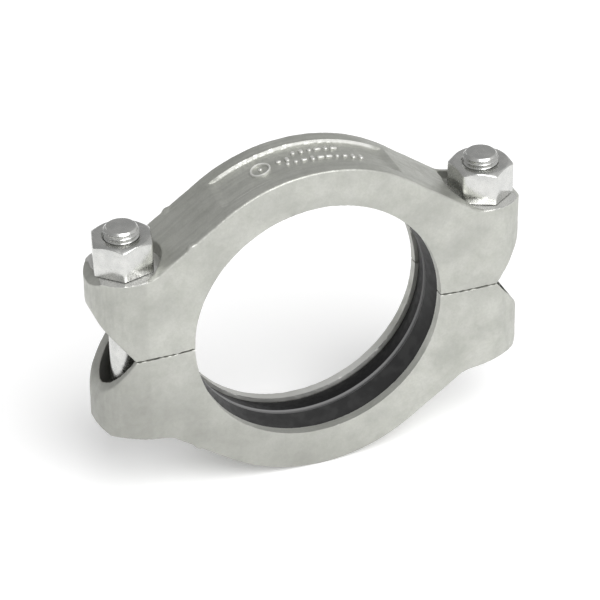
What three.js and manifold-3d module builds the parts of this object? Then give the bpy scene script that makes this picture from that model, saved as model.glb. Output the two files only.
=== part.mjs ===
// Grooved-pipe coupling, nominal 6 in (DN150), for 168.3 mm outside-diameter pipe.
//
// Two identical cast housing halves close around a C-section gasket. A bolt and a nut on each side
// pull the halves together, and the keys inside the halves drop into the grooves of two pipe ends.
//
// Units: millimetres. Frame: +Z up along the bolts, with the nuts on top; X runs through both bolts;
// Y is the pipe axis. Origin: centre of the bore.

import * as THREE from 'three';
import { mergeVertices } from 'three/addons/utils/BufferGeometryUtils.js';
import Module from 'manifold-3d';

const wasm = await Module();
wasm.setup();

// ---------------------------------------------------------------------------
// Driving dimensions
// ---------------------------------------------------------------------------

const CLEARANCE = 0.3; // gap kept between touching pieces
const OVERCUT = 5; // how far a cutting shape runs past the surface that it cuts
const RING_STEPS = 96; // facets in a full turn of the ring surfaces
const ROUND_STEPS = 40; // facets in a full turn of bolts, pockets and lug ends

// Ring of a housing half
const HALF_WIDTH = 25.5; // half of the overall width along the pipe
const RING_R = 108; // outer radius
const KEY_R = 82.25; // bore radius of the keys, which drop into 163.9 mm grooves
const KEY_INNER_Y = 18; // inner side of each key at the bore, from the middle plane
const CAVITY_R = 99; // gasket cavity radius
const CAVITY_HALF_WIDTH = 17.4; // at the bottom of the cavity
const DISH_R = 95; // the side faces are flat outside this radius
const DISH_DEPTH = 1.2; // and fall inwards by this much at the bore

// Recessed panel in the outer surface of the ring
const PANEL_DEPTH = 2.4;
const PANEL_HALF_WIDTH = 15;
const PANEL_HALF_ANGLE = 33; // degrees each side of the crown

// Bolt lugs of a housing half
const BOLT_X = 119; // bolt axis from the bore centre
const LUG_END_X = 143.7; // outermost point of a lug
const LUG_HEIGHT = 55.5; // flat bolt pad, from the parting plane
const PAD_THICKNESS = 18; // solid metal under the pad; the lug is hollow beyond it
const FLANK_ANGLE = 35; // fall of the straight flank from ring to pad, degrees
const PARTING_X = 121; // the halves meet from the bore out to here
const GAP_ANGLE = 52; // slope of the lug beyond it, degrees
const GAP_BLEND_R = 33; // radius from that slope into the lug's end
const GAP_BLEND_STEPS = 8;
const POCKET_R = 23.5; // round socket that clears the nut, cut into the flank
const POCKET_CORNER_X = 98; // on the +Y side the socket also has a square inner corner
const POCKET_CORNER_Y = 22;
const WALL_START_X = 99; // there a low wall falls from the flank beside the socket
const WALL_END_X = 130; // to the level of the pad
const HOLLOW_X = 117.5; // centre of the round hollow inside a lug
const HOLLOW_Y = 2.5; // it lies off the middle plane, so one of its walls is thin
const HOLLOW_R = 20;
const HOLLOW_INNER_X = 106; // flat wall between the hollow and the gasket cavity
const HOLLOW_STEPS = 28;

// Bolts: 7/8 in, 9 threads to the inch, 5 1/2 in long under the head
const BOLT_R = 11.1;
const BOLT_LENGTH = 139.7;
const BOLT_CHAMFER = 1.9;
const HEAD_R = 19;
const HEAD_HEIGHT = 11;
const HEAD_RIM = 3; // straight rim of the domed head
const HEAD_DOME_STEPS = 6;
const NECK_HALF_LENGTH = 15.6; // the oval neck sits in an oval hole, so the bolt can't turn
const NECK_HALF_WIDTH = 12;
const NECK_DEPTH = 13;

// Heavy hexagon nuts
const NUT_ACROSS_FLATS = 36.5;
const NUT_HEIGHT = 21.8;
const NUT_CHAMFER_ANGLE = 30; // degrees
const NUT_FACE_R = 17.4; // flat top inside the chamfer
const NUT_COUNTERSINK = 1.2; // at the upper end of the thread, 45 degrees
const LEFT_NUT_TURN = -104; // direction of one corner about the bolt, degrees
const RIGHT_NUT_TURN = -85;

// Gasket, relaxed
const GASKET_R = CAVITY_R - CLEARANCE;
const GASKET_HALF_WIDTH = CAVITY_HALF_WIDTH - CLEARANCE;
const GASKET_BACK = 5.2; // thickness of the outer wall
const GASKET_SIDE = 4.4; // thickness of the side walls
const LIP_ROOT_R = 84.4; // where a sealing lip leaves its side wall
const LIP_EDGE_R = 79.5; // free edge of a lip
const LIP_EDGE_Y = 2; // free edge of a lip, from the middle plane
const LIP_THICKNESS = 3;

// ---------------------------------------------------------------------------
// Materials
// ---------------------------------------------------------------------------

const castMetal = new THREE.MeshStandardMaterial({ color: 0xb4b5ac, roughness: 0.55, metalness: 0.6 });
const brightSteel = new THREE.MeshStandardMaterial({ color: 0xd2d3d0, roughness: 0.28, metalness: 0.9 });
const blackRubber = new THREE.MeshStandardMaterial({ color: 0x1d1d1f, roughness: 0.6, metalness: 0 });

// ---------------------------------------------------------------------------
// Outlines and solids
// ---------------------------------------------------------------------------

const radians = THREE.MathUtils.degToRad;

function arcPoints(cx, cy, radius, fromDegrees, toDegrees, steps) {
  const points = [];
  for (let i = 0; i <= steps; i += 1) {
    const angle = radians(fromDegrees + ((toDegrees - fromDegrees) * i) / steps);
    points.push(new THREE.Vector2(cx + radius * Math.cos(angle), cy + radius * Math.sin(angle)));
  }
  return points;
}

// Number of facets that keeps an arc of the ring as smooth as the full turn.
function ringSteps(degrees) {
  return Math.round((degrees * RING_STEPS) / 360);
}

// Oval with half-round ends and straight sides, long in X.
function ovalOutline(centreX, halfLength, halfWidth) {
  const offset = halfLength - halfWidth;
  return [
    ...arcPoints(centreX + offset, 0, halfWidth, -90, 90, ROUND_STEPS / 2),
    ...arcPoints(centreX - offset, 0, halfWidth, 90, 270, ROUND_STEPS / 2),
  ];
}

// Outline in the XZ plane, extruded both ways along the pipe axis.
function extrudeAlongPipe(outline, halfDepth) {
  const settings = { depth: 2 * halfDepth, bevelEnabled: false };
  const geometry = new THREE.ExtrudeGeometry(new THREE.Shape(outline), settings);
  return geometry.rotateX(Math.PI / 2).translate(0, halfDepth, 0);
}

// Outline in the XY plane, extruded between two heights.
function extrudeUp(outline, fromZ, toZ) {
  const settings = { depth: toZ - fromZ, bevelEnabled: false };
  return new THREE.ExtrudeGeometry(new THREE.Shape(outline), settings).translate(0, 0, fromZ);
}

// Profile of [radius, y] points, turned about the pipe axis.
function turnAboutPipe(profile) {
  return new THREE.LatheGeometry(profile.map(([radius, y]) => new THREE.Vector2(radius, y)), RING_STEPS);
}

// Profile of [radius, z] points, turned about the Z axis.
function turnAboutBolt(profile) {
  const points = profile.map(([radius, z]) => new THREE.Vector2(radius, z));
  return new THREE.LatheGeometry(points, ROUND_STEPS).rotateX(Math.PI / 2);
}

// The same profile on the other side of the middle plane, in reverse order.
function mirrored(profile) {
  return profile.map(([radius, y]) => [radius, -y]).reverse();
}

function toSolid(geometry) {
  geometry.deleteAttribute('normal');
  geometry.deleteAttribute('uv');
  const merged = mergeVertices(geometry);
  const vertProperties = new Float32Array(merged.attributes.position.array);
  const triVerts = new Uint32Array(merged.index.array);
  return new wasm.Manifold(new wasm.Mesh({ numProp: 3, vertProperties, triVerts }));
}

function toGeometry(solid) {
  const { vertProperties, triVerts } = solid.getMesh();
  const geometry = new THREE.BufferGeometry();
  geometry.setAttribute('position', new THREE.BufferAttribute(vertProperties, 3));
  geometry.setIndex(new THREE.BufferAttribute(triVerts, 1));
  geometry.computeVertexNormals();
  return geometry;
}

// ---------------------------------------------------------------------------
// Housing half, in the place of the upper one
// ---------------------------------------------------------------------------

// Height of the straight flank, which touches the ring.
function flankHeight(x) {
  return RING_R / Math.cos(radians(FLANK_ANGLE)) - Math.abs(x) * Math.tan(radians(FLANK_ANGLE));
}

// Front outline of the +X side, from the parting plane round the lug to the crown of the ring.
function housingOutlineSide() {
  const base = CLEARANCE / 2;
  const cornerZ = base + (LUG_END_X - PARTING_X) * Math.tan(radians(GAP_ANGLE));
  const blendZ = cornerZ + GAP_BLEND_R * Math.tan(radians((90 - GAP_ANGLE) / 2));
  const blendX = LUG_END_X - GAP_BLEND_R;

  const tangentAngle = 90 - FLANK_ANGLE;
  const padX = (flankHeight(0) - LUG_HEIGHT) / Math.tan(radians(FLANK_ANGLE));

  return [
    new THREE.Vector2(0, base),
    new THREE.Vector2(PARTING_X, base),
    ...arcPoints(blendX, blendZ, GAP_BLEND_R, GAP_ANGLE - 90, 0, GAP_BLEND_STEPS),
    new THREE.Vector2(LUG_END_X, LUG_HEIGHT),
    new THREE.Vector2(padX, LUG_HEIGHT),
    ...arcPoints(0, 0, RING_R, tangentAngle, 90, ringSteps(FLANK_ANGLE)),
  ];
}

function housingOutline() {
  const right = housingOutlineSide();
  const left = right.slice(1, -1).map((point) => new THREE.Vector2(-point.x, point.y));
  return [...right, ...left.reverse()];
}

// Everything inside the ring: the dished mouths, the bore between them and the gasket cavity.
function boreCutter() {
  const mouthY = HALF_WIDTH + OVERCUT;
  const mouthR = DISH_R + (OVERCUT * (DISH_R - KEY_R)) / DISH_DEPTH;
  const half = [
    [CAVITY_R, CAVITY_HALF_WIDTH],
    [KEY_R, KEY_INNER_Y],
    [KEY_R, HALF_WIDTH - DISH_DEPTH],
    [mouthR, mouthY],
    [0, mouthY],
  ];
  return turnAboutPipe([...mirrored(half), ...half]);
}

function panelCutter() {
  const from = 90 - PANEL_HALF_ANGLE;
  const to = 90 + PANEL_HALF_ANGLE;
  const steps = ringSteps(to - from);
  const floor = arcPoints(0, 0, RING_R - PANEL_DEPTH, from, to, steps);
  const outside = arcPoints(0, 0, RING_R + OVERCUT, to, from, steps);
  return extrudeAlongPipe([...floor, ...outside], PANEL_HALF_WIDTH);
}

// Oval hole through the pad, into the hollow below it.
function boltHoleCutter(boltX) {
  const outline = ovalOutline(boltX, NECK_HALF_LENGTH + CLEARANCE, NECK_HALF_WIDTH + CLEARANCE);
  return extrudeUp(outline, LUG_HEIGHT - PAD_THICKNESS - CLEARANCE, LUG_HEIGHT + OVERCUT);
}

// Hollow inside the lug on one side (-1 or +1), open at the parting plane and to the gap.
function lugHollowCutter(side) {
  const halfAngle = THREE.MathUtils.radToDeg(Math.acos((HOLLOW_INNER_X - HOLLOW_X) / HOLLOW_R));
  const outline = arcPoints(HOLLOW_X, HOLLOW_Y, HOLLOW_R, -halfAngle, halfAngle, HOLLOW_STEPS);
  const placed = outline.map((point) => new THREE.Vector2(side * point.x, point.y));
  return extrudeUp(placed, -OVERCUT, LUG_HEIGHT - PAD_THICKNESS);
}

function nutPocketCutter(boltX) {
  const outline = arcPoints(boltX, 0, POCKET_R, 0, 360, ROUND_STEPS).slice(0, -1);
  return extrudeUp(outline, LUG_HEIGHT, RING_R);
}

function pocketCornerCutter(side) {
  const length = BOLT_X - POCKET_CORNER_X;
  const corner = new THREE.BoxGeometry(length, POCKET_CORNER_Y, RING_R);
  return corner.translate(side * (BOLT_X - length / 2), POCKET_CORNER_Y / 2, LUG_HEIGHT + RING_R / 2);
}

// Low wall beside the socket, before the socket is cut. It fills the +Y half of the lug's width.
function pocketWall(side) {
  const outline = [
    new THREE.Vector2(side * WALL_START_X, LUG_HEIGHT - OVERCUT),
    new THREE.Vector2(side * WALL_START_X, flankHeight(WALL_START_X)),
    new THREE.Vector2(side * WALL_END_X, LUG_HEIGHT),
    new THREE.Vector2(side * WALL_END_X, LUG_HEIGHT - OVERCUT),
  ];
  const halfDepth = (HALF_WIDTH + OVERCUT) / 2;
  return extrudeAlongPipe(outline, halfDepth).translate(0, halfDepth, 0);
}

function housingHalf() {
  const front = toSolid(extrudeAlongPipe(housingOutline(), HALF_WIDTH + OVERCUT));
  const walls = toSolid(pocketWall(-1)).add(toSolid(pocketWall(1)));
  const plan = toSolid(extrudeUp(ovalOutline(0, LUG_END_X, HALF_WIDTH), -OVERCUT, RING_R + OVERCUT));
  const cutters = [boreCutter(), panelCutter()];
  for (const side of [-1, 1]) {
    cutters.push(boltHoleCutter(side * BOLT_X), lugHollowCutter(side));
    cutters.push(nutPocketCutter(side * BOLT_X), pocketCornerCutter(side));
  }
  return cutters.reduce((body, cutter) => body.subtract(toSolid(cutter)), front.add(walls).intersect(plan));
}

// ---------------------------------------------------------------------------
// Gasket: a C-shaped section, open towards the bore between its two lips
// ---------------------------------------------------------------------------

function gasketRing() {
  const innerR = GASKET_R - GASKET_BACK;
  const innerY = GASKET_HALF_WIDTH - GASKET_SIDE;
  const half = [
    [GASKET_R, GASKET_HALF_WIDTH],
    [LIP_ROOT_R, GASKET_HALF_WIDTH],
    [LIP_EDGE_R, LIP_EDGE_Y],
    [LIP_EDGE_R + LIP_THICKNESS, LIP_EDGE_Y],
    [LIP_ROOT_R + LIP_THICKNESS, innerY],
    [innerR, innerY],
  ];
  return turnAboutPipe([...half, ...mirrored(half), half[0]]);
}

// ---------------------------------------------------------------------------
// Bolts and nuts
// ---------------------------------------------------------------------------

// Bolt with its axis on Z and the bolt pad that its head bears on at z = 0.
function bolt() {
  const domeRise = HEAD_HEIGHT - HEAD_RIM;
  const domeR = (HEAD_R ** 2 + domeRise ** 2) / (2 * domeRise);
  const domeHalfAngle = THREE.MathUtils.radToDeg(Math.asin(HEAD_R / domeR));
  const underHead = -CLEARANCE;
  const domeCentre = underHead - HEAD_HEIGHT + domeR;
  const dome = arcPoints(0, domeCentre, domeR, -90, domeHalfAngle - 90, HEAD_DOME_STEPS);
  const turned = turnAboutBolt([
    ...dome.map((point) => [Math.max(0, point.x), point.y]),
    [HEAD_R, underHead],
    [BOLT_R, underHead],
    [BOLT_R, BOLT_LENGTH - BOLT_CHAMFER],
    [BOLT_R - BOLT_CHAMFER, BOLT_LENGTH],
    [0, BOLT_LENGTH],
  ]);
  const neckOutline = ovalOutline(0, NECK_HALF_LENGTH, NECK_HALF_WIDTH);
  const neck = extrudeUp(neckOutline, underHead - HEAD_RIM, NECK_DEPTH);
  return toSolid(turned).add(toSolid(neck));
}

// Nut with its axis on Z, its bearing face at z = 0 and a corner towards +X.
function nut() {
  const cornerR = NUT_ACROSS_FLATS / Math.sqrt(3);
  const hexagon = extrudeUp(arcPoints(0, 0, cornerR, 0, 360, 6).slice(0, -1), 0, NUT_HEIGHT);
  const coneR = cornerR + OVERCUT;
  const chamferDrop = (coneR - NUT_FACE_R) * Math.tan(radians(NUT_CHAMFER_ANGLE));
  const chamferCone = turnAboutBolt([
    [0, -OVERCUT],
    [coneR, -OVERCUT],
    [coneR, NUT_HEIGHT - chamferDrop],
    [NUT_FACE_R, NUT_HEIGHT],
    [0, NUT_HEIGHT],
  ]);
  const boreR = BOLT_R + CLEARANCE;
  const bore = turnAboutBolt([
    [0, -OVERCUT],
    [boreR, -OVERCUT],
    [boreR, NUT_HEIGHT - NUT_COUNTERSINK],
    [boreR + NUT_COUNTERSINK + OVERCUT, NUT_HEIGHT + OVERCUT],
    [0, NUT_HEIGHT + OVERCUT],
  ]);
  return toSolid(hexagon).intersect(toSolid(chamferCone)).subtract(toSolid(bore));
}

// ---------------------------------------------------------------------------
// Assembly
// ---------------------------------------------------------------------------

function namedMesh(name, geometry, material) {
  const mesh = new THREE.Mesh(geometry, material);
  mesh.name = name;
  return mesh;
}

const housingGeometry = toGeometry(housingHalf());
const boltGeometry = toGeometry(bolt());
const nutGeometry = toGeometry(nut());

const upperHousing = namedMesh('upper_housing', housingGeometry, castMetal);
const lowerHousing = namedMesh('lower_housing', housingGeometry, castMetal);
lowerHousing.rotation.x = Math.PI;
const gasket = namedMesh('gasket', gasketRing(), blackRubber);

const coupling = new THREE.Group();
coupling.add(upperHousing, lowerHousing, gasket);

const sides = [
  { side: 'left', boltX: -BOLT_X, nutTurn: LEFT_NUT_TURN },
  { side: 'right', boltX: BOLT_X, nutTurn: RIGHT_NUT_TURN },
];
for (const { side, boltX, nutTurn } of sides) {
  const boltMesh = namedMesh(`${side}_bolt`, boltGeometry, brightSteel);
  boltMesh.position.set(boltX, 0, -LUG_HEIGHT);
  const nutMesh = namedMesh(`${side}_nut`, nutGeometry, brightSteel);
  nutMesh.position.set(boltX, 0, LUG_HEIGHT + CLEARANCE);
  nutMesh.rotation.z = radians(nutTurn);
  coupling.add(boltMesh, nutMesh);
}

export default coupling;
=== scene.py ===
import math
import random

import bpy
import numpy as np
from mathutils import Matrix, Vector, noise


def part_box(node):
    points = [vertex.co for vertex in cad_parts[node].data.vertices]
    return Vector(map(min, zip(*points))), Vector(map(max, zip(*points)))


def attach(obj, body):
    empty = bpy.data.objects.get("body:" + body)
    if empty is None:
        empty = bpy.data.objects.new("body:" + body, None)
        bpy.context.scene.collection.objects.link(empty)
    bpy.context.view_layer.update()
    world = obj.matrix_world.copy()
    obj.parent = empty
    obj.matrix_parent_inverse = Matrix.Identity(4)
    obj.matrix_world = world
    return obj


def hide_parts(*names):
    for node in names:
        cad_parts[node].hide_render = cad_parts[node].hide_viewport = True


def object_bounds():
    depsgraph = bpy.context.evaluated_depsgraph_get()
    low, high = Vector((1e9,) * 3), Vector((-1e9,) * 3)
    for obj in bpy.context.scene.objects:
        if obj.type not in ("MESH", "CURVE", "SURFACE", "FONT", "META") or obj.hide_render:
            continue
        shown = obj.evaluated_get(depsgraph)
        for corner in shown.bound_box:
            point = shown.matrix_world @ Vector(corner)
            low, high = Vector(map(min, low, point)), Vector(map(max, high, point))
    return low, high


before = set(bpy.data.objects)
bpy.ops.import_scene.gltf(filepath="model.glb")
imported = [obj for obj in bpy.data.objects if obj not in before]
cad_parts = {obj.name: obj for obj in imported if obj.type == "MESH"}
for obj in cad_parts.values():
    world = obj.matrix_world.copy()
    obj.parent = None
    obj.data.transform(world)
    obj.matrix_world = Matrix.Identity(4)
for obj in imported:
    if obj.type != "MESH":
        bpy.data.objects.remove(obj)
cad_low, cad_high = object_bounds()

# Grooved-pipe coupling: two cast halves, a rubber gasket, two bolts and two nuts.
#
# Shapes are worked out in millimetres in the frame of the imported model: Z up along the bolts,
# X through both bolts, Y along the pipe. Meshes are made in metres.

MM = 0.001


def box_mm(node):
    """Lowest and highest corner of a CAD node, in millimetres."""
    low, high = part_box(node)
    return low / MM, high / MM


# ---------------------------------------------------------------------------
# Dimensions, millimetres
# ---------------------------------------------------------------------------

housing_low, housing_high = box_mm("upper_housing")
gasket_low, gasket_high = box_mm("gasket")
bolt_low, bolt_high = box_mm("right_bolt")
nut_low, nut_high = box_mm("right_nut")

# Housing half
HALF_WIDTH = housing_high.y
RING_R = housing_high.z
LUG_END_X = housing_high.x
PARTING_Z = housing_low.z  # half of the gap between the halves
EDGE_R = 1.7  # rounding of the outer edges of the casting
LUG_FILLET_R = 3.0  # where ring, flank and lug run into each other
BORE_EDGE_R = 0.3
OPENING_EDGE_R = 0.8  # edges of the gap between the lugs and of the hollows
KEY_R = 82.25  # bore radius of the keys
KEY_INNER_Y = 18.0
CAVITY_R = 99.0
CAVITY_HALF_WIDTH = 17.4
DISH_R = 95.0  # the side faces are flat outside this radius
DISH_DEPTH = 1.2
PANEL_DEPTH = 2.4
PANEL_HALF_WIDTH = 15.0
PANEL_HALF_ANGLE = math.radians(33)
PANEL_END_SLOPE = math.radians(24)
PANEL_DRAFT = math.radians(21)  # lean of the panel's long walls
PANEL_CORNER_R = 0.8
LUG_HEIGHT = 55.5
PAD_THICKNESS = 18.0
PAD_START_X = 95.0  # the machined pads lie beyond here
FLANK_ANGLE = math.radians(35)
PARTING_X = 121.0  # the halves lie close together from the bore out to here
GAP_ANGLE = math.radians(52)
GAP_BLEND_R = 33.0
POCKET_R = 23.5  # round socket that clears the nut
POCKET_CORNER_X = 98.0  # on the +Y side the socket also has a square inner corner
POCKET_CORNER_Y = 22.0
POCKET_CORNER_R = 2.0
POCKET_EDGE_R = 0.6
WALL_START_X = 99.0  # a low wall beside the socket starts here at the flank
WALL_END_X = 130.0  # and has fallen to the level of the pad here
WALL_DEPTH = 5.0  # how far the wall runs down into the lug
WALL_FILLET_R = 1.0
NIB_X = -82.0  # small lumps that the mould leaves on both edges of one flank
NIB_R = 3.0
NIB_DEPTH = 2.3  # how far the middle of a lump lies inside the edge
NIB_FILLET_R = 1.6
PAD_EDGE_R = 0.5  # the pad is machined, which leaves a crisp edge
PAD_EDGE_FROM, PAD_EDGE_TO = 104.0, 112.0  # between these the edge turns from soft to crisp
HOLLOW_X = 117.5
HOLLOW_Y = 2.5  # off the middle plane, so one wall of the hollow is thin
HOLLOW_R = 20.0
HOLLOW_INNER_X = 106.0
HOLLOW_CORNER_R = 2.0
PARTING_EDGE_R = 0.35  # the faces between the halves have crisp edges
OVERCUT = 1.0  # how far one cut runs into the next

# Bolts and nuts, 7/8 in with 9 threads to the inch
BOLT_X = (bolt_low.x + bolt_high.x) / 2
BOLT_END_Z = bolt_high.z
BOLT_BOTTOM_Z = bolt_low.z
BOLT_R = 11.1
PITCH = 25.4 / 9
THREAD_START = math.radians(-99)  # direction in which the thread runs out of the bolt's end
THREAD_DEPTH = 1.7
THREAD_LENGTH = 51.0
END_FACE_R = 9.2  # the end inside its chamfer
END_CROWN = 0.35  # rise of the slightly domed end
HEAD_R = 19.0
HEAD_RIM = 3.0  # height of the straight rim between the dome and the pad
NECK_HALF_LENGTH = 15.6
NECK_HALF_WIDTH = 12.0
NECK_DEPTH = 13.0
NECK_CLEARANCE = 0.3  # between the neck and its hole
NECK_SHOULDER = 1.5  # height of the bevel from the neck to the shank
NUT_BOTTOM_Z = nut_low.z
NUT_TOP_Z = nut_high.z
NUT_APOTHEM = 36.5 / 2
NUT_FACE_R = 17.4
NUT_CHAMFER = math.radians(30)
NUT_COUNTERSINK = 1.0  # depth of the cone at each end of the nut's thread
NUT_TURNS = {"left": math.radians(-104), "right": math.radians(-85)}  # direction of a corner

# Gasket
GASKET_R = gasket_high.x
GASKET_HALF_WIDTH = gasket_high.y
GASKET_BACK = 5.2
GASKET_SIDE = 4.4
LIP_ROOT_R = 84.4
LIP_EDGE_R = 81.0  # free edge of a lip
LIP_EDGE_Y = 1.0  # free edge of a lip, from the middle plane
LIP_THICKNESS = 3.0


# ---------------------------------------------------------------------------
# Meshes
# ---------------------------------------------------------------------------

def new_piece(name, points, faces, material, sharp_degrees=None):
    """A smooth-shaded mesh object from points in millimetres."""
    mesh = bpy.data.meshes.new(name)
    mesh.from_pydata((np.asarray(points, float) * MM).tolist(), [], [list(map(int, f)) for f in faces])
    mesh.update()
    mesh.shade_smooth()
    if sharp_degrees is not None:
        mesh.set_sharp_from_angle(angle=math.radians(sharp_degrees))
    mesh.materials.append(material)
    piece = bpy.data.objects.new(name, mesh)
    bpy.context.scene.collection.objects.link(piece)
    return piece


def loft(rings, closed=False):
    """Points and faces of a skin over rings of equally many points. Open skins get an end cap each."""
    rows = len(rings)
    count = len(rings[0])
    points = np.concatenate(rings)
    faces = []
    for row in range(rows if closed else rows - 1):
        after = (row + 1) % rows
        for i in range(count):
            j = (i + 1) % count
            faces.append((row * count + i, row * count + j, after * count + j, after * count + i))
    if not closed:
        faces.append(tuple(reversed(range(count))))
        faces.append(tuple((rows - 1) * count + i for i in range(count)))
    return points, faces


def ring_about_z(angles, radius, z):
    """Ring of points about the Z axis. Radius and z are numbers or one value for each angle."""
    return np.stack(np.broadcast_arrays(radius * np.cos(angles), radius * np.sin(angles), z), axis=-1)


def rounded_outline(corners, steps=5):
    """Closed outline through (u, v, radius) corners, each rounded to its radius."""
    points = []
    total = len(corners)
    for i, (u, v, radius) in enumerate(corners):
        here = Vector((u, v))
        to_last = (Vector(corners[i - 1][:2]) - here).normalized()
        to_next = (Vector(corners[(i + 1) % total][:2]) - here).normalized()
        half = to_last.angle(to_next) / 2
        reach = radius / math.tan(half)
        centre = here + (to_last + to_next).normalized() * (radius / math.sin(half))
        start = here + to_last * reach - centre
        end = here + to_next * reach - centre
        for step in range(steps + 1):
            direction = start.lerp(end, step / steps).normalized()
            points.append(centre + direction * radius)
    return points


# ---------------------------------------------------------------------------
# Solids as distances: negative inside, in millimetres. Arguments are numpy arrays.
# ---------------------------------------------------------------------------

def shared(a, b, radius=0.0):
    """What two solids share, with the edge between them rounded."""
    corner = np.hypot(np.maximum(a + radius, 0), np.maximum(b + radius, 0))
    return np.minimum(np.maximum(a, b), -radius) + corner


def cut(a, b, radius=0.0):
    """Solid a without b, with the cut's edges rounded."""
    return shared(a, -b, radius)


def joined(a, b, radius=0.0):
    """Both solids, with a fillet between them."""
    return -shared(-a, -b, radius)


def stadium(x, y, half_length, half_width):
    """Oval with half-round ends, long in X."""
    return np.hypot(np.maximum(np.abs(x) - (half_length - half_width), 0), y) - half_width


def gap_side(x, z):
    """Side of a lug that faces the other half: a slope, an arc and the upright end of the lug."""
    corner_z = PARTING_Z + (LUG_END_X - PARTING_X) * math.tan(GAP_ANGLE)
    from_x = x - (LUG_END_X - GAP_BLEND_R)
    from_z = z - (corner_z + GAP_BLEND_R * math.tan((math.pi / 2 - GAP_ANGLE) / 2))
    slope = (x - PARTING_X) * math.sin(GAP_ANGLE) - (z - PARTING_Z) * math.cos(GAP_ANGLE)
    past_slope = from_x * math.cos(GAP_ANGLE) + from_z * math.sin(GAP_ANGLE) > 0
    on_arc = past_slope & (from_z < 0) & (from_x > 0)
    return np.where(on_arc, np.hypot(from_x, from_z) - GAP_BLEND_R, np.maximum(slope, x - LUG_END_X))


def flank_height(x):
    """Height of the straight flank, which touches the ring."""
    return RING_R / math.cos(FLANK_ANGLE) - x * math.tan(FLANK_ANGLE)


def housing_side_view(x, z, q):
    """The upper half seen along the pipe, down to the parting plane: ring, flank and lug."""
    beside_ring = RING_R * math.sin(FLANK_ANGLE) - x
    flank = shared((z - flank_height(x)) * math.cos(FLANK_ANGLE), beside_ring)
    lug = shared(z - LUG_HEIGHT, beside_ring)
    return joined(joined(q - RING_R, flank), lug, LUG_FILLET_R)


def pocket_wall(x, y, z):
    """Low wall beside the nut's socket, on the +Y side."""
    fall = math.atan2(flank_height(WALL_START_X) - LUG_HEIGHT, WALL_END_X - WALL_START_X)
    top = (z - LUG_HEIGHT) * math.cos(fall) - (WALL_END_X - x) * math.sin(fall)
    body = shared(LUG_HEIGHT - WALL_DEPTH - z, WALL_START_X - x)
    return shared(shared(top, -y), body)


def nut_pocket(x, y, z):
    """Socket round the nut, down to the pad."""
    corner = shared(POCKET_CORNER_X - x, y - POCKET_CORNER_Y, POCKET_CORNER_R)
    corner = shared(corner, shared(x - BOLT_X, -y))
    plan = joined(np.hypot(x - BOLT_X, y) - POCKET_R, corner, POCKET_CORNER_R)
    return shared(plan, LUG_HEIGHT - z, POCKET_EDGE_R)


def lug_hollow(x, y, z):
    """Hollow inside a lug, with the oval hole of the bolt's neck through the pad above it."""
    plan = shared(np.hypot(x - HOLLOW_X, y - HOLLOW_Y) - HOLLOW_R, HOLLOW_INNER_X - x, HOLLOW_CORNER_R)
    ceiling_z = LUG_HEIGHT - PAD_THICKNESS
    hollow = shared(plan, z - ceiling_z, HOLLOW_CORNER_R)
    oval = stadium(x - BOLT_X, y, NECK_HALF_LENGTH + NECK_CLEARANCE, NECK_HALF_WIDTH + NECK_CLEARANCE)
    return joined(hollow, shared(oval, ceiling_z - OVERCUT - z), POCKET_EDGE_R)


def mould_nib(x, y, z):
    """Lump on the edge between the flank and a side face."""
    from_edge = np.hypot(y - HALF_WIDTH + NIB_DEPTH, z - flank_height(-NIB_X) + NIB_DEPTH)
    return np.hypot(x - NIB_X, from_edge) - NIB_R


def parting_side(x, z):
    """The face towards the other half. It is a little uneven, and stands back by up to 0.4 mm."""
    set_back = 0.2
    long_waves = 0.12 * np.sin(x / 2.1) * np.sin(x / 5.3)
    short_waves = 0.08 * np.sin(x / 0.9 + 1)
    return PARTING_Z + (set_back + long_waves + short_waves) - z


def bore_space(q, y):
    """What is open inside the ring: the gasket cavity, the bore of the keys and the dished mouths."""
    side = CAVITY_HALF_WIDTH + (CAVITY_R - q) * (KEY_INNER_Y - CAVITY_HALF_WIDTH) / (CAVITY_R - KEY_R)
    cavity = shared(q - CAVITY_R, y - side)
    dish = HALF_WIDTH - (DISH_R - q) * DISH_DEPTH / (DISH_R - KEY_R)
    mouth = np.minimum(dish, HALF_WIDTH + OVERCUT) - y
    return cavity, q - KEY_R, mouth


def panel_space(x, z, q, y):
    """Recess in the outer surface of the ring, with an end that runs out to the surface."""
    arc = (np.arctan2(x, z) - PANEL_HALF_ANGLE) * q
    end = arc * math.sin(PANEL_END_SLOPE) + (RING_R - q) * math.cos(PANEL_END_SLOPE)
    floor = shared(RING_R - PANEL_DEPTH - q, end, PANEL_CORNER_R)
    above_middle = q - RING_R + PANEL_DEPTH / 2
    wall = (y - PANEL_HALF_WIDTH) * math.cos(PANEL_DRAFT) - above_middle * math.sin(PANEL_DRAFT)
    return shared(floor, wall)


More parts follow.
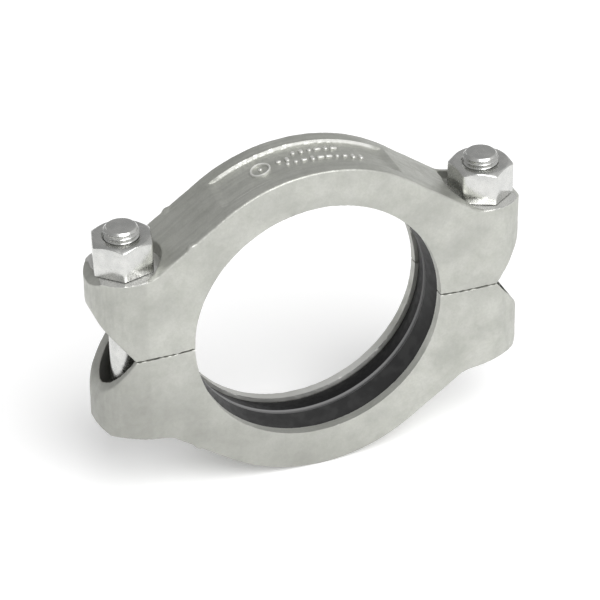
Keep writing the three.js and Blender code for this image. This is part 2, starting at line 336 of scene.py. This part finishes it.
def housing(x, y, z):
    """Distance to the upper housing half.

    Its two lugs mirror each other. Its two sides do too, but for the sockets, low walls and
    hollows of the lugs. The nibs are on the left flank only."""
    out = np.abs(x)
    aside = np.abs(y)
    q = np.hypot(out, z)
    outside = joined(housing_side_view(out, z, q), pocket_wall(out, y, z), WALL_FILLET_R)
    plan = stadium(out, aside, LUG_END_X, HALF_WIDTH)
    edge_r = np.interp(out, (PAD_EDGE_FROM, PAD_EDGE_TO), (EDGE_R, PAD_EDGE_R))
    solid = joined(shared(outside, plan, edge_r), mould_nib(x, aside, z), NIB_FILLET_R)
    solid = shared(solid, aside - HALF_WIDTH)
    cavity, key_bore, mouth = bore_space(q, aside)
    solid = cut(solid, mouth, BORE_EDGE_R)
    solid = cut(solid, key_bore, BORE_EDGE_R)
    solid = cut(solid, cavity)
    solid = cut(solid, panel_space(out, z, q, aside))
    solid = shared(solid, gap_side(out, z), OPENING_EDGE_R)
    solid = shared(solid, parting_side(out, z), PARTING_EDGE_R)
    solid = cut(solid, lug_hollow(out, y, z), OPENING_EDGE_R)
    return cut(solid, nut_pocket(out, y, z), POCKET_EDGE_R)


# ---------------------------------------------------------------------------
# Meshes from distances
# ---------------------------------------------------------------------------

SLOPE_REACH = 0.05  # millimetres each way from the point where a slope is measured
SMALLEST_SLOPE = 0.2  # a slope below this gives a plane little say in where a point goes
GRID_SHIFT = 0.41  # in steps, keeps the grid off the flat faces
HOLD_TO_MEAN = 0.08  # how strongly a point is held to the middle of its crossings
LARGEST_MOVE = 0.6  # in steps, how far it may move from there


def slope_of(distance, points):
    """Gradient of a distance at points."""
    parts = []
    for axis in np.eye(3) * SLOPE_REACH:
        parts.append(distance(*(points + axis).T) - distance(*(points - axis).T))
    return np.stack(parts, axis=-1) / (2 * SLOPE_REACH)


def crossings_along(axis, field):
    """Where grid edges along an axis pass through the surface, in steps from the grid's first point.

    Also gives the four cells round each such edge, in the order that makes their quad face out."""
    ahead = np.moveaxis(field, axis, 0)[1:]
    behind = np.moveaxis(field, axis, 0)[:-1]
    found = np.argwhere((ahead < 0) != (behind < 0))
    first = behind[tuple(found.T)]
    second = ahead[tuple(found.T)]
    corner = np.insert(found[:, 1:], axis, found[:, 0], axis=1)
    crossing = corner.astype(float)
    crossing[:, axis] += first / (first - second)
    u, v = (axis + 1) % 3, (axis + 2) % 3
    around = []
    for back_u, back_v in ((1, 1), (0, 1), (0, 0), (1, 0)):
        cell = corner.copy()
        cell[:, u] -= back_u
        cell[:, v] -= back_v
        around.append(np.ravel_multi_index(tuple(cell.T), field.shape))
    around = np.stack(around, axis=-1)
    inward = first > 0
    around[inward] = around[inward][:, ::-1]
    return crossing, around


def meeting_points(quads, crossings, normals, step):
    """For each cell, the point where the planes that touch the surface at its crossings meet."""

    def summed(values):
        """Sum of one value per crossing over the crossings round each cell."""
        return np.bincount(quads.ravel(), weights=np.repeat(values, 4))

    share = np.bincount(quads.ravel())
    means = np.stack([summed(crossings[:, k]) / share for k in range(3)], axis=-1)
    offsets = (normals * crossings).sum(axis=1)
    matrix = np.empty((len(share), 3, 3))
    target = np.empty((len(share), 3))
    for row in range(3):
        for column in range(3):
            matrix[:, row, column] = summed(normals[:, row] * normals[:, column])
        target[:, row] = summed(normals[:, row] * offsets)
    target -= (matrix @ means[:, :, None])[:, :, 0]
    matrix += HOLD_TO_MEAN * np.eye(3)
    moves = np.linalg.solve(matrix, target[:, :, None])[:, :, 0]
    reach = LARGEST_MOVE * step
    return means + np.clip(moves, -reach, reach)


def surface_of(distance, low, high, step):
    """Points and quads of the surface where a distance is zero.

    Each grid edge that the surface crosses joins the four cells round it in a quad. The points
    lie where touching planes meet, which keeps crisp edges crisp."""
    off_planes = GRID_SHIFT * step
    axes = [np.arange(a - 2 * step + off_planes, b + 3 * step, step) for a, b in zip(low, high)]
    field = distance(axes[0][:, None, None], axes[1][None, :, None], axes[2][None, None, :])
    crossings, cells = zip(*(crossings_along(axis, field) for axis in range(3)))
    _, quads = np.unique(np.concatenate(cells), return_inverse=True)
    quads = quads.reshape(-1, 4)
    origin = np.array([axis[0] for axis in axes])
    crossings = np.concatenate(crossings) * step + origin
    normals = slope_of(distance, crossings)
    normals /= np.maximum(np.linalg.norm(normals, axis=1), SMALLEST_SLOPE)[:, None]
    return meeting_points(quads, crossings, normals, step), quads


# ---------------------------------------------------------------------------
# Materials
# ---------------------------------------------------------------------------

class Shader:
    """A material with a Principled shader, and short calls that add nodes to it."""

    def __init__(self, name):
        self.material = bpy.data.materials.new(name)
        self.material.use_nodes = True
        self.tree = self.material.node_tree
        self.main = self.tree.nodes["Principled BSDF"]
        self.place = self.tree.nodes.new("ShaderNodeTexCoord").outputs["Object"]
        self.bumps = None

    def link(self, value, socket):
        """Feeds a socket from another one, or sets it to a plain value."""
        if isinstance(value, bpy.types.NodeSocket):
            self.tree.links.new(value, socket)
        else:
            socket.default_value = value

    def noise(self, size_mm, detail=3.0, stretch=(1, 1, 1)):
        """Grey noise whose features are about size_mm across, longer along an axis stretched over 1."""
        mapping = self.tree.nodes.new("ShaderNodeMapping")
        mapping.inputs["Scale"].default_value = [1 / (size_mm * MM * s) for s in stretch]
        self.link(self.place, mapping.inputs["Vector"])
        texture = self.tree.nodes.new("ShaderNodeTexNoise")
        texture.inputs["Scale"].default_value = 1.0
        texture.inputs["Detail"].default_value = detail
        self.link(mapping.outputs["Vector"], texture.inputs["Vector"])
        return texture.outputs["Fac"]

    def ramp(self, value, low, high, to_low=0.0, to_high=1.0):
        """Value held between low and high, and spread to to_low..to_high."""
        node = self.tree.nodes.new("ShaderNodeMapRange")
        node.interpolation_type = "SMOOTHSTEP"
        self.link(value, node.inputs["Value"])
        for name, number in zip(("From Min", "From Max", "To Min", "To Max"), (low, high, to_low, to_high)):
            self.link(number, node.inputs[name])
        return node.outputs["Result"]

    def math(self, operation, a, b=0.0):
        """One step of arithmetic on two values."""
        node = self.tree.nodes.new("ShaderNodeMath")
        node.operation = operation
        self.link(a, node.inputs[0])
        self.link(b, node.inputs[1])
        return node.outputs["Value"]

    def length(self, a, b):
        """Length of the hypotenuse over a and b."""
        squares = [self.math("MULTIPLY", side, side) for side in (a, b)]
        return self.math("SQRT", self.math("ADD", *squares))

    def mix(self, share, a, b):
        """Colour a where share is 0 and b where it is 1."""
        node = self.tree.nodes.new("ShaderNodeMix")
        node.data_type = "RGBA"
        self.link(share, node.inputs["Factor"])
        for value, socket in ((a, node.inputs["A"]), (b, node.inputs["B"])):
            self.link(value if isinstance(value, bpy.types.NodeSocket) else (*value, 1.0), socket)
        return node.outputs["Result"]

    def edges(self, low, high):
        """From 0 in a hollow edge, through the middle on a flat, to 1 on an outer edge."""
        geometry = self.tree.nodes.new("ShaderNodeNewGeometry")
        return self.ramp(geometry.outputs["Pointiness"], low, high)

    def level(self):
        """1 where the surface lies level, facing up or down, and 0 where it doesn't."""
        normal = self.tree.nodes.new("ShaderNodeNewGeometry").outputs["Normal"]
        node = self.tree.nodes.new("ShaderNodeSeparateXYZ")
        self.link(normal, node.inputs["Vector"])
        return self.math("GREATER_THAN", self.math("ABSOLUTE", node.outputs["Z"]), 0.9)

    def place_parts(self):
        """The X, Y and Z of a point of the surface, in metres."""
        node = self.tree.nodes.new("ShaderNodeSeparateXYZ")
        self.link(self.place, node.inputs["Vector"])
        return [node.outputs[axis] for axis in "XYZ"]

    def bump(self, height, depth_mm):
        """Adds relief to the surface, on top of what was added before."""
        node = self.tree.nodes.new("ShaderNodeBump")
        node.inputs["Strength"].default_value = 1.0
        node.inputs["Distance"].default_value = depth_mm * MM
        self.link(height, node.inputs["Height"])
        if self.bumps:
            self.link(self.bumps, node.inputs["Normal"])
        self.bumps = node.outputs["Normal"]

    def done(self, **sockets):
        """Sets the shader's own sockets: names with _ for spaces."""
        for name, value in sockets.items():
            self.link(value, self.main.inputs[name.replace("_", " ")])
        if self.bumps:
            self.link(self.bumps, self.main.inputs["Normal"])
        return self.material


def on_panel_relief(shader, x, y, from_axis):
    """1 on the long walls and the marks of a panel, 0 on its floor, its ends and elsewhere."""
    floor_r = RING_R - PANEL_DEPTH
    mask = shader.ramp(from_axis, (floor_r + 0.3) * MM, (floor_r + 0.8) * MM)
    mask = shader.math("MULTIPLY", mask, shader.ramp(from_axis, (RING_R - 0.1) * MM, (RING_R - 0.4) * MM))
    end_x = RING_R * math.sin(PANEL_HALF_ANGLE)
    for place, limit, blend in ((x, end_x - 10, 5), (y, PANEL_HALF_WIDTH + 1, 0.5)):
        within = shader.ramp(shader.math("ABSOLUTE", place), (limit + blend) * MM, limit * MM)
        mask = shader.math("MULTIPLY", mask, within)
    return mask


def on_machined_pad(shader, x, z):
    """1 on the level top of a bolt pad, 0 elsewhere."""
    from_pad = shader.math("SUBTRACT", shader.math("ABSOLUTE", z), LUG_HEIGHT * MM)
    mask = shader.math("LESS_THAN", shader.math("ABSOLUTE", from_pad), 0.3 * MM)
    beside_ring = shader.math("GREATER_THAN", shader.math("ABSOLUTE", x), PAD_START_X * MM)
    return shader.math("MULTIPLY", shader.math("MULTIPLY", mask, beside_ring), shader.level())


def zinc_colour(shader):
    """Clouded, streaked and grainy grey of a galvanised skin."""
    broad = shader.ramp(shader.noise(26, 5), 0.32, 0.68)
    cloudy = shader.ramp(shader.noise(7, 4), 0.3, 0.7)
    grain = shader.ramp(shader.noise(1.3, 3), 0.3, 0.7)
    streaks = shader.ramp(shader.noise(2.5, 3, stretch=(10, 1, 10)), 0.42, 0.62)
    colour = shader.mix(broad, (0.45, 0.457, 0.418), (0.54, 0.547, 0.505))
    colour = shader.mix(shader.math("MULTIPLY", cloudy, 0.4), colour, (0.57, 0.57, 0.54))
    colour = shader.mix(shader.math("MULTIPLY", grain, 0.16), colour, (0.30, 0.305, 0.28))
    return shader.mix(shader.math("MULTIPLY", streaks, 0.27), colour, (0.34, 0.345, 0.32))


def cast_metal():
    """Galvanised casting with machined bolt pads. Painted highlights on its edges, panel relief and rear key;
    painted shade in hollow edges, towards the lower left and on the left lugs.
    """
    # Tones of the painted highlights and of the painted shade
    bright = (0.82, 0.82, 0.79)
    painted_shade_tone = (0.26, 0.26, 0.24)
    shader = Shader("galvanised_casting")
    x, y, z = shader.place_parts()
    from_axis = shader.length(x, z)

    # Painted highlight: outer edges, found by pointiness, are lightened towards pale grey
    colour = shader.mix(shader.edges(0.52, 0.68), zinc_colour(shader), (0.72, 0.72, 0.69))
    outside = shader.ramp(from_axis, (KEY_R + 2) * MM, (KEY_R + 5) * MM)
    # Painted shade: hollow edges outside the key bore are darkened
    hollow_edge_shade = shader.math("MULTIPLY", shader.edges(0.47, 0.38), outside)
    colour = shader.mix(hollow_edge_shade, colour, (0.33, 0.33, 0.30))

    # Painted highlight: the rear key's inner face near the bottom of the bore is lightened, as if lit through
    # the bore from the front
    rear_key_highlight = shader.math("MULTIPLY", shader.ramp(outside, 0.3, 0.0), shader.ramp(y, 0.0, 12 * MM))
    highlight_near_bottom = shader.ramp(z, -40 * MM, -75 * MM)
    colour = shader.mix(shader.math("MULTIPLY", rear_key_highlight, highlight_near_bottom), colour, bright)
    # Painted highlight: the long walls of each panel and its raised marks are lightened
    relief = on_panel_relief(shader, x, y, from_axis)
    colour = shader.mix(shader.math("MULTIPLY", relief, 0.8), colour, bright)

    # Painted shade: the casting grows darker towards the lower left
    down_left = shader.math("ADD", shader.math("MULTIPLY", x, -0.5), shader.math("MULTIPLY", z, -0.87))
    shade_down_left = shader.ramp(down_left, 35 * MM, 105 * MM)
    colour = shader.mix(shader.math("MULTIPLY", shade_down_left, 0.48), colour, painted_shade_tone)
    # Painted shade: the outer part of the left lugs is darkened a little
    left_lug_shade = shader.ramp(x, -111 * MM, -114 * MM)
    colour = shader.mix(shader.math("MULTIPLY", left_lug_shade, 0.2), colour, painted_shade_tone)

    pad = on_machined_pad(shader, x, z)
    colour = shader.mix(pad, colour, (0.74, 0.74, 0.72))
    rough = shader.ramp(shader.noise(5, 4), 0.3, 0.7, 0.40, 0.56)
    rough = shader.ramp(pad, 0.0, 1.0, rough, 0.25)
    shader.bump(shader.noise(0.8, 2), 0.07)
    shader.bump(shader.noise(3.0, 4), 0.20)
    return shader.done(Base_Color=colour, Roughness=rough, Metallic=0.75)


def plated_steel():
    """Bright zinc plate on turned and forged steel, with painted shade in its hollows."""
    shader = Shader("bright_zinc_plate")
    broad = shader.ramp(shader.noise(8, 3), 0.3, 0.7)
    colour = shader.mix(broad, (0.58, 0.585, 0.57), (0.68, 0.68, 0.66))
    # Painted shade: hollows such as thread roots are darkened
    colour = shader.mix(shader.edges(0.49, 0.40), colour, (0.16, 0.16, 0.15))
    rough = shader.ramp(shader.noise(2.2, 4), 0.3, 0.7, 0.18, 0.32)
    shader.bump(shader.noise(1.4, 2), 0.010)
    shader.bump(shader.noise(7, 2), 0.12)
    return shader.done(Base_Color=colour, Roughness=rough, Metallic=1.0)


def black_rubber():
    """Moulded rubber: dusty and lighter on its front lip, with painted shade behind and a painted highlight
    along both lips' edges.
    """
    shader = Shader("moulded_rubber")
    dust_and_front_light = shader.ramp(shader.noise(9, 5), 0.4, 0.8)
    x, y, z = shader.place_parts()
    # Dust in random patches, kept to the front half: the front is lighter as painted light and the rear stays
    # darker as painted shade
    in_front = shader.ramp(y, 1.0 * MM, -1.0 * MM)
    dust_and_front_light = shader.math("MULTIPLY", shader.math("ADD", dust_and_front_light, 0.6), in_front)
    colour = shader.mix(dust_and_front_light, (0.008, 0.008, 0.0085), (0.036, 0.036, 0.036))
    # Painted highlight: a grey band along the free edges of both lips
    on_lip = shader.ramp(shader.length(x, z), (LIP_EDGE_R + 3) * MM, (LIP_EDGE_R + 2) * MM)
    from_slot = shader.math("ABSOLUTE", y)
    lip_edge_highlight = shader.ramp(from_slot, (LIP_EDGE_Y + 1.4) * MM, (LIP_EDGE_Y + 0.8) * MM)
    colour = shader.mix(shader.math("MULTIPLY", lip_edge_highlight, on_lip), colour, (0.20, 0.20, 0.20))
    gloss = shader.ramp(in_front, 0.0, 1.0, 0.08, 0.25)
    rough = shader.ramp(shader.noise(3.5, 4), 0.3, 0.7, 0.42, 0.54)
    shader.bump(shader.noise(0.9, 2), 0.02)
    shader.bump(shader.noise(5, 3), 0.08)
    return shader.done(Base_Color=colour, Roughness=rough, Specular_IOR_Level=gloss)


# ---------------------------------------------------------------------------
# Housing halves
# ---------------------------------------------------------------------------

HOUSING_STEP = 1.0
CREASE_DEGREES = 55  # edges of a casting that are sharper than this are shaded as creases
COARSE_WAVE = (0.16, 11.0)  # height and length of the waves that a sand mould leaves
FINE_WAVE = (0.07, 3.4)
SKIN_DEPTH = 0.12  # the skin lies this far in, so that the waves stay within the casting's size
PAD_REACH = 0.25  # points this near the height of a pad are on it


def roughened(points, distance, seed):
    """The points of a casting, moved by the waviness of its sand mould. Machined pads stay flat."""
    slope = slope_of(distance, points)
    slope /= np.linalg.norm(slope, axis=1)[:, None]
    offset = Vector((seed * 37.0, seed * 11.0, seed * 23.0))
    heights = []
    for point in points:
        place = Vector(point) + offset
        waves = [height * noise.noise(place / length) for height, length in (COARSE_WAVE, FINE_WAVE)]
        heights.append(sum(waves) - SKIN_DEPTH)
    heights = np.array(heights)
    heights[np.abs(points[:, 2] - LUG_HEIGHT) < PAD_REACH] = 0
    return points + slope * heights[:, None]


def add_housings(material):
    low = (housing_low.x, housing_low.y, housing_low.z)
    high = (housing_high.x, housing_high.y, housing_high.z)
    points, quads = surface_of(housing, low, high, HOUSING_STEP)
    upper = new_piece("upper_casting", roughened(points, housing, 1), quads, material, CREASE_DEGREES)
    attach(upper, "upper_half")
    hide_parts("upper_housing")
    turned = roughened(points, housing, 2) * [1, -1, -1]
    lower = new_piece("lower_casting", turned, quads, material, CREASE_DEGREES)
    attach(lower, "lower_half")
    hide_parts("lower_housing")


# ---------------------------------------------------------------------------
# Relief on the floor of each panel: a round boss and rows of plain bars and dots, with no lettering
# ---------------------------------------------------------------------------

MARK_HEIGHT = 1.3
MARK_ROOT = 0.6  # depth of a mark's foot below the floor
MARK_STROKE = 2.4  # width of a bar
MARK_PITCH = 5.4
MARK_ROWS = ((6.5, -5.0, 27.0), (1.5, -16.0, -6.0), (-3.8, -12.0, 37.0))  # y, and arc from..to
MARK_LENGTHS = (MARK_STROKE, 3.2, 4.0, 4.6)
MARK_STEPS = 16  # points round a bar
BOSS_ARC, BOSS_Y, BOSS_R = -28.5, 1.0, 6.0
BOSS_STEPS = 48  # sections round the ring


def on_panel(arc, y, height):
    """Point at a height over the panel's floor, at a distance along the arc from the crown."""
    floor_r = RING_R - PANEL_DEPTH
    angle = arc / floor_r
    return ((floor_r + height) * math.sin(angle), y, (floor_r + height) * math.cos(angle))


def bar_mark(arc, y, length, turn):
    """Raised bar with round ends. One as long as it is wide is a dot."""
    shoulder = MARK_HEIGHT * 0.85
    levels = ((0.25, -MARK_ROOT), (0.0, MARK_HEIGHT * 0.55), (-0.14, shoulder), (-0.4, MARK_HEIGHT))
    rings = []
    for grow, height in levels:
        radius = MARK_STROKE / 2 + grow
        ring = []
        for step in range(MARK_STEPS):
            angle = 2 * math.pi * (step + 0.5) / MARK_STEPS
            along = math.copysign((length - MARK_STROKE) / 2, math.cos(angle))
            along += radius * math.cos(angle)
            across = radius * math.sin(angle)
            ring.append(on_panel(
                arc + along * math.cos(turn) - across * math.sin(turn),
                y + along * math.sin(turn) + across * math.cos(turn),
                height,
            ))
        rings.append(ring)
    return loft(rings)


def boss_mark():
    """Raised ring."""
    shoulder = MARK_HEIGHT * 0.8
    section = ((-0.8, -MARK_ROOT), (-0.55, shoulder), (0, MARK_HEIGHT), (0.55, shoulder), (0.8, -MARK_ROOT))
    rings = []
    for step in range(BOSS_STEPS):
        angle = 2 * math.pi * step / BOSS_STEPS
        ring = []
        for grow, height in section:
            arc = BOSS_ARC + (BOSS_R + grow) * math.cos(angle)
            y = BOSS_Y + (BOSS_R + grow) * math.sin(angle)
            ring.append(on_panel(arc, y, height))
        rings.append(ring)
    return loft(rings, closed=True)


def panel_marks(seed):
    """Points and faces of all the marks of one panel."""
    draw = random.Random(seed)
    marks = [boss_mark(), bar_mark(BOSS_ARC, BOSS_Y, MARK_STROKE, 0)]
    for y, first, last in MARK_ROWS:
        for arc in np.arange(first, last, MARK_PITCH):
            length = draw.choice(MARK_LENGTHS)
            turn = draw.choice((0, 0, math.pi / 2))
            marks.append(bar_mark(arc, y + draw.uniform(-0.2, 0.2), length, turn))
    points = []
    faces = []
    for mark_points, mark_faces in marks:
        faces += [[index + len(points) for index in face] for face in mark_faces]
        points += list(mark_points)
    return np.array(points), faces


def add_marks(material):
    for name, body, seed, flip in (("upper", "upper_half", 3, 1), ("lower", "lower_half", 4, -1)):
        points, faces = panel_marks(seed)
        points = points * [1, flip, flip]
        marks = new_piece(f"{name}_casting_marks", points, faces, material, sharp_degrees=35)
        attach(marks, body)


# ---------------------------------------------------------------------------
# Gasket
# ---------------------------------------------------------------------------

GASKET_TURN_STEPS = 288


def add_gasket(material):
    inner_r = GASKET_R - GASKET_BACK
    inner_y = GASKET_HALF_WIDTH - GASKET_SIDE
    half = [
        (GASKET_R, GASKET_HALF_WIDTH, 1.2),
        (LIP_ROOT_R, GASKET_HALF_WIDTH, 1.6),
        (LIP_EDGE_R, LIP_EDGE_Y, 1.3),
        (LIP_EDGE_R + LIP_THICKNESS, LIP_EDGE_Y, 0.6),
        (LIP_ROOT_R + LIP_THICKNESS, inner_y, 1.2),
        (inner_r, inner_y, 1.2),
    ]
    other = [(r, -y, radius) for r, y, radius in reversed(half)]
    section = rounded_outline(half + other)
    rings = []
    for step in range(GASKET_TURN_STEPS):
        angle = 2 * math.pi * step / GASKET_TURN_STEPS
        rings.append([(r * math.cos(angle), y, r * math.sin(angle)) for r, y in section])
    points, faces = loft(rings, closed=True)
    gasket = new_piece("gasket_ring", points, faces, material)
    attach(gasket, "lower_half")
    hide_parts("gasket")


# ---------------------------------------------------------------------------
# Bolts and nuts
# ---------------------------------------------------------------------------

def thread_radius(angles, z, outer, depth):
    """Radius of a right-hand thread, with its crests at the outer radius."""
    phase = np.mod((z - BOLT_END_Z) / PITCH - (angles - THREAD_START) / (2 * math.pi) + 0.5, 1.0)
    groove = np.clip(1.25 * (1 - np.abs(2 * phase - 1)) - 0.125, 0, 1)
    return outer - depth * groove


def neck_radius(angles):
    """Radius of the oval neck in each direction."""
    offset = NECK_HALF_LENGTH - NECK_HALF_WIDTH
    cosine, sine = np.abs(np.cos(angles)), np.abs(np.sin(angles))
    end = offset * cosine + np.sqrt(np.maximum(NECK_HALF_WIDTH ** 2 - (offset * sine) ** 2, 0))
    side = NECK_HALF_WIDTH / np.maximum(sine, 1e-6)
    return np.where(side * cosine < offset, side, end)


def head_rows(pad_z):
    """Radius and height along the domed head, from its middle to its seat on the pad."""
    rise = pad_z - BOLT_BOTTOM_Z - HEAD_RIM
    dome_r = (HEAD_R ** 2 + rise ** 2) / (2 * rise)
    rows = []
    for share in np.linspace(0.02, 0.97, 14):
        radius = HEAD_R * share
        rows.append((radius, BOLT_BOTTOM_Z + dome_r - math.sqrt(dome_r ** 2 - radius ** 2)))
    rim_z = BOLT_BOTTOM_Z + rise
    rows += [(HEAD_R - 0.15, rim_z - 0.1), (HEAD_R, rim_z + 0.5), (HEAD_R, pad_z - 1.1)]
    return rows + [(HEAD_R - 0.2, pad_z - 0.6), (HEAD_R - 0.8, pad_z - 0.35)]


def neck_rows(pad_z, angles):
    """Radii and height along the oval neck, up to the plain shank."""
    neck = neck_radius(angles)
    top_z = pad_z + NECK_DEPTH
    rows = [(neck + 0.3, pad_z - 0.35), (neck, pad_z), (neck, top_z - NECK_SHOULDER)]
    return rows + [(neck - 0.8, top_z - 0.2), (np.full_like(angles, BOLT_R + 0.3), top_z)]


def shank_rows(start_z, angles):
    """Radii and height along the shank and its thread, from start_z to the domed end."""
    plain_r = BOLT_R - 0.05
    thread_z = BOLT_END_Z - THREAD_LENGTH
    end_z = BOLT_END_Z - END_CROWN
    rows = [(plain_r, start_z), (plain_r, thread_z - PITCH)]
    for z in np.arange(thread_z - PITCH / 2, end_z, PITCH / 14):
        depth = THREAD_DEPTH * min(max((z - thread_z) / PITCH, 0), 1)
        chamfer = END_FACE_R + end_z - z
        rows.append((np.minimum(thread_radius(angles, z, BOLT_R, depth), chamfer), z))
    for share in np.linspace(0.97, 0.03, 12):
        rows.append((END_FACE_R * share, BOLT_END_Z - END_CROWN * share ** 2))
    return rows


def add_bolt(name, x, material):
    angles = np.linspace(0, 2 * math.pi, 72, endpoint=False)
    pad_z = -LUG_HEIGHT
    rows = head_rows(pad_z) + neck_rows(pad_z, angles)
    rows += shank_rows(pad_z + NECK_DEPTH + 0.6, angles)
    rings = [ring_about_z(angles, radius, z) + [x, 0, 0] for radius, z in rows]
    points, faces = loft(rings)
    bolt = new_piece(f"{name}_threaded", points, faces, material, sharp_degrees=40)
    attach(bolt, "lower_half")
    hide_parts(name)


def hexagon_angles():
    """Directions round a nut, closer together at its corners."""
    within = [-27, -24, -20, -16, -12, -8, -4, -1.5, 0, 1.5, 4, 8, 12, 16, 20, 24, 27, 30]
    return np.radians([60 * side + degrees for side in range(6) for degrees in within])


def nut_rows(angles, turned):
    """Radii and height along a nut's section, from its top down the outside and back up its thread."""
    corner_r = NUT_APOTHEM / math.cos(math.pi / 6)
    from_flat = np.mod(angles, math.pi / 3) - math.pi / 6
    hexagon = np.minimum(NUT_APOTHEM / np.cos(from_flat), corner_r - 0.35)
    slope = math.tan(NUT_CHAMFER)
    rim_z = NUT_TOP_Z - (hexagon - NUT_FACE_R) * slope
    thread_r = BOLT_R + 0.3
    cone_r = BOLT_R + 1.4
    rows = [(NUT_FACE_R - 2.5, NUT_TOP_Z), (NUT_FACE_R - 0.3, NUT_TOP_Z), (NUT_FACE_R + 0.3, NUT_TOP_Z - 0.1)]
    rows += [(hexagon - 0.45, rim_z + 0.45 * slope), (hexagon - 0.12, rim_z - 0.02), (hexagon, rim_z - 0.3)]
    rows += [(hexagon, NUT_BOTTOM_Z + 0.5), (hexagon - 0.12, NUT_BOTTOM_Z + 0.15)]
    rows += [(hexagon - 0.4, NUT_BOTTOM_Z), (cone_r, NUT_BOTTOM_Z)]
    for z in np.arange(NUT_BOTTOM_Z + NUT_COUNTERSINK, NUT_TOP_Z - NUT_COUNTERSINK, PITCH / 12):
        rows.append((thread_radius(turned, z, thread_r, THREAD_DEPTH), z))
    rows += [(cone_r, NUT_TOP_Z)]
    return rows


def add_nut(side, x, material):
    angles = hexagon_angles()
    turned = angles + NUT_TURNS[side]
    rows = reversed(nut_rows(angles, turned))
    rings = [ring_about_z(turned, radius, z) + [x, 0, 0] for radius, z in rows]
    points, faces = loft(rings, closed=True)
    nut = new_piece(f"{side}_nut_hex", points, faces, material, sharp_degrees=30)
    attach(nut, f"{side}_nut")
    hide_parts(f"{side}_nut")


# ---------------------------------------------------------------------------
# Stage
# ---------------------------------------------------------------------------

FLOOR_REACH = 6.0  # metres each way
BRIGHT_SIDE = (0.55, -0.80, -0.10)  # the studio is brightest there
DIM_LEVEL, BRIGHT_LEVEL = 0.38, 0.74
SUN_PLACE = (0.1, -0.62, 0.78)
SUN_ENERGY = 2.2
SUN_WIDTH = math.radians(50)


def add_floor():
    mesh = bpy.data.meshes.new("floor")
    reach = FLOOR_REACH
    z = cad_low.z
    corners = [(-reach, -reach, z), (reach, -reach, z), (reach, reach, z), (-reach, reach, z)]
    mesh.from_pydata(corners, [], [(0, 1, 2, 3)])
    shader = Shader("pale_floor")
    mesh.materials.append(shader.done(
        Base_Color=(0.93, 0.93, 0.93, 1), Roughness=0.9, Emission_Color=(1, 1, 1, 1), Emission_Strength=0.17
    ))
    floor = bpy.data.objects.new("floor", mesh)
    bpy.context.scene.collection.objects.link(floor)


def add_lights():
    """A studio that is bright in front and on the right, dim opposite, and has a soft sun."""
    world = bpy.data.worlds.new("studio")
    bpy.context.scene.world = world
    world.use_nodes = True
    tree = world.node_tree
    direction = tree.nodes.new("ShaderNodeTexCoord").outputs["Generated"]
    towards = tree.nodes.new("ShaderNodeVectorMath")
    towards.operation = "DOT_PRODUCT"
    tree.links.new(direction, towards.inputs[0])
    towards.inputs[1].default_value = Vector(BRIGHT_SIDE).normalized()
    spread = tree.nodes.new("ShaderNodeMapRange")
    spread.interpolation_type = "SMOOTHSTEP"
    tree.links.new(towards.outputs["Value"], spread.inputs["Value"])
    levels = {"From Min": -0.9, "From Max": 0.9, "To Min": DIM_LEVEL, "To Max": BRIGHT_LEVEL}
    for name, number in levels.items():
        spread.inputs[name].default_value = number
    tree.links.new(spread.outputs["Result"], tree.nodes["Background"].inputs["Strength"])
    tree.nodes["Background"].inputs["Color"].default_value = (1, 1, 1, 1)
    key = bpy.data.lights.new("key_light", "SUN")
    key.energy = SUN_ENERGY
    key.angle = SUN_WIDTH
    light = bpy.data.objects.new("key_light", key)
    light.rotation_mode = "QUATERNION"
    light.rotation_quaternion = Vector(SUN_PLACE).to_track_quat("Z", "Y")
    bpy.context.scene.collection.objects.link(light)


def add_camera():
    """The camera at the photograph's place: turned left of the pipe axis, above, and far off."""
    azimuth, elevation, roll = map(math.radians, (-20.70, 32.53, -0.80))
    distance, right_shift, up_shift = 1.8969, -0.0036, 0.0016
    back = Vector((
        math.sin(azimuth) * math.cos(elevation),
        -math.cos(azimuth) * math.cos(elevation),
        math.sin(elevation),
    ))
    right = (-back).cross(Vector((0, 0, 1))).normalized()
    up = right.cross(-back)
    place = back * distance + right * right_shift + up * up_shift
    turned_right = right * math.cos(roll) + up * math.sin(roll)
    turned_up = up * math.cos(roll) - right * math.sin(roll)
    data = bpy.data.cameras.new("camera")
    data.sensor_width = 36.0
    data.lens = 180.17
    data.clip_end = 50
    camera = bpy.data.objects.new("camera", data)
    axes = Matrix((turned_right, turned_up, back)).transposed().to_4x4()
    camera.matrix_world = Matrix.Translation(place) @ axes
    bpy.context.scene.collection.objects.link(camera)
    bpy.context.scene.camera = camera


def main():
    casting = cast_metal()
    steel = plated_steel()
    rubber = black_rubber()
    add_housings(casting)
    add_marks(casting)
    add_gasket(rubber)
    for side, sign in (("left", -1), ("right", 1)):
        add_bolt(f"{side}_bolt", sign * BOLT_X, steel)
        add_nut(side, sign * BOLT_X, steel)
    add_floor()
    add_lights()
    add_camera()
    bpy.context.scene.view_settings.view_transform = "Standard"


main()
